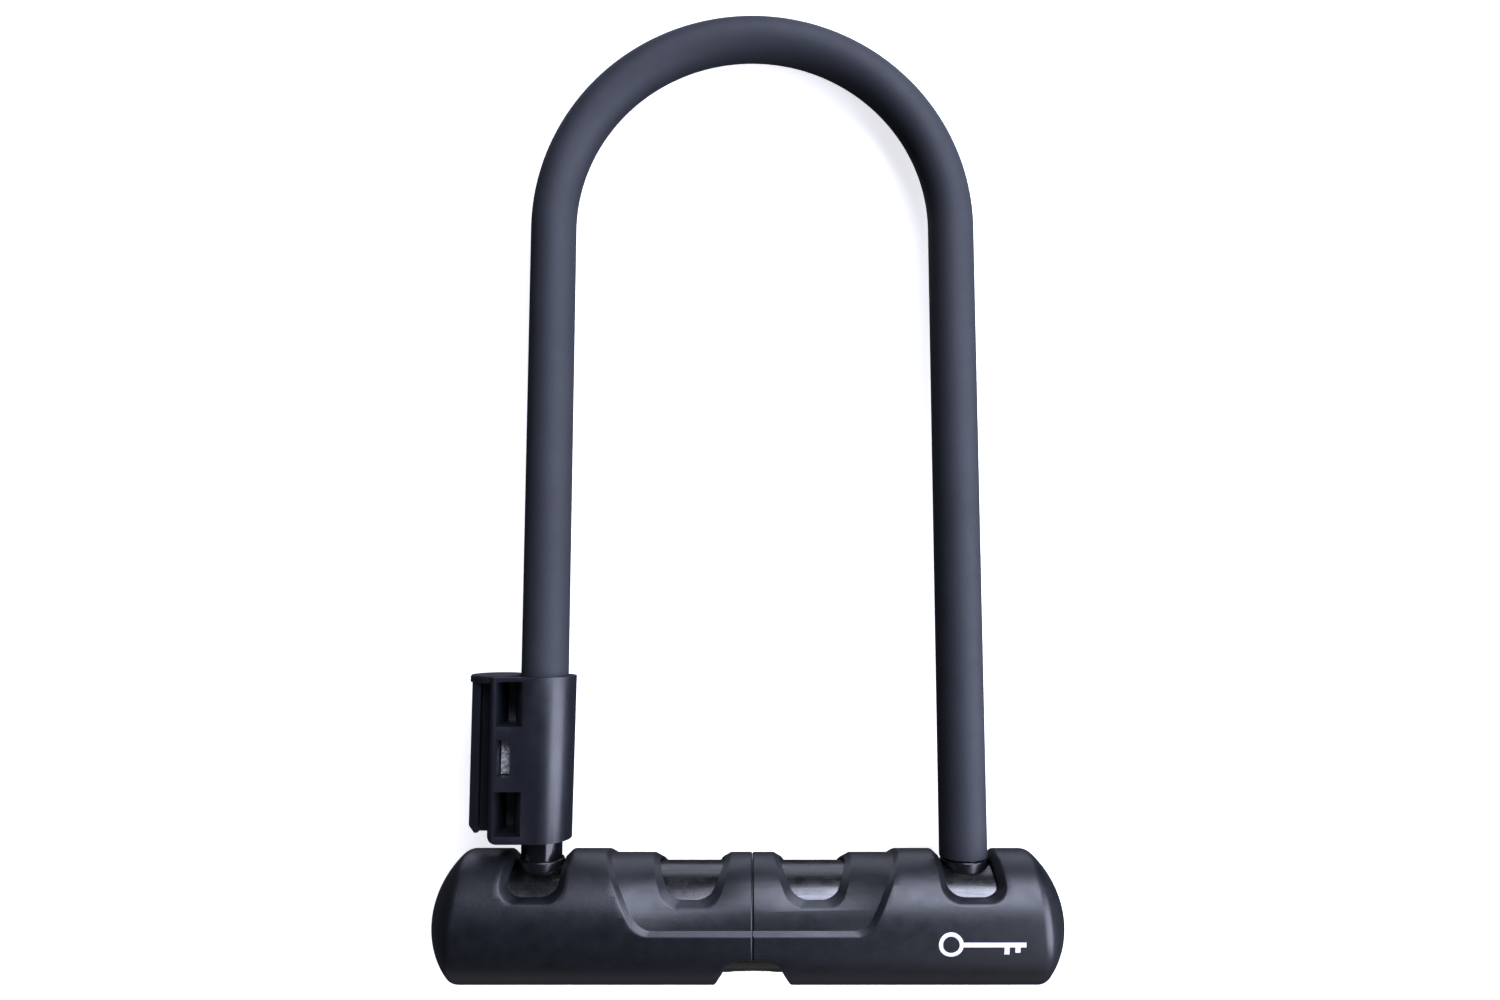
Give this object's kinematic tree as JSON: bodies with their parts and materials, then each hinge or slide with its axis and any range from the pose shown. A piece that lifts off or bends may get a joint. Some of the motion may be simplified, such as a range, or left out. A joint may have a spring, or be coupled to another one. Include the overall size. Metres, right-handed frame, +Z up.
{
  "type": "bicycle u lock",
  "caption": "Bicycle U lock: coated steel shackle, tubular crossbar with moulded covers, key cylinder that drives two bolts, and a bracket carrier clamped on one leg.",
  "frame": {"origin": "middle of the bounding box, on the surface that the lock lies on", "axes": "+X along the crossbar, +Y from the crossbar towards the arch, +Z up from the surface that the lock lies on"},
  "size_m": [0.1828, 0.2944, 0.037],
  "materials": {
    "cover_plastic": "fine moulded grain, satin black",
    "coating": "soft matte black coating",
    "carrier_plastic": "smooth semi-gloss black moulding",
    "black_steel": "glossy black finish on steel",
    "satin_steel": "satin steel",
    "grey_steel": "plain steel",
    "zinc": "bright zinc plating",
    "brass": "plain brass",
    "brass_nickel": "nickel-plated brass",
    "rubber": "glossy black seal",
    "white_plastic": "natural acetal"
  },
  "bodies": {
    "lock_body": {"body_tube": "satin_steel", "cover_left": "cover_plastic", "cover_right": "cover_plastic", "end_plug_left": "grey_steel", "end_plug_right": "grey_steel", "leg_seal_left": "rubber", "leg_seal_right": "rubber", "cylinder_housing": "brass_nickel", "housing_pin": "grey_steel", "bolt_guide_left": "white_plastic", "bolt_guide_right": "white_plastic"},
    "plug": {"cylinder_plug": "brass_nickel", "wafer_1": "brass", "wafer_2": "brass", "wafer_3": "brass", "wafer_4": "brass", "wafer_5": "brass", "driver_plate": "grey_steel", "plug_clip": "grey_steel"},
    "left_bolt": {"bolt_left": "grey_steel", "bolt_pin_left": "grey_steel"},
    "right_bolt": {"bolt_right": "grey_steel", "bolt_pin_right": "grey_steel"},
    "shackle": {"shackle_bar": "black_steel", "shackle_coating": "coating", "bracket_carrier": "carrier_plastic", "clamp_nut": "zinc", "clamp_screw": "zinc"}
  },
  "joints": [
    {"name": "shackle_pull", "type": "slide", "parent": "lock_body", "child": "shackle", "axis": [0, 0.9991, -0.0427], "range_m": [0, 0.05]},
    {"name": "plug_turn", "type": "hinge", "parent": "lock_body", "child": "plug", "pos_m": [0.0013, -0.12873, 0.0185], "axis": [0, 0.9991, -0.0427], "range_deg": [0, 90]},
    {"name": "left_bolt_slide", "type": "slide", "parent": "lock_body", "child": "left_bolt", "axis": [-1, 0, 0], "range_m": [0, 0.00401]},
    {"name": "right_bolt_slide", "type": "slide", "parent": "lock_body", "child": "right_bolt", "axis": [1, 0, 0], "range_m": [0, 0.00401]}
  ],
  "couplings": [
    {"joint": "left_bolt_slide", "follows": "plug_turn", "m_per_rad": 0.0025465},
    {"joint": "right_bolt_slide", "follows": "plug_turn", "m_per_rad": 0.0025465}
  ]
}
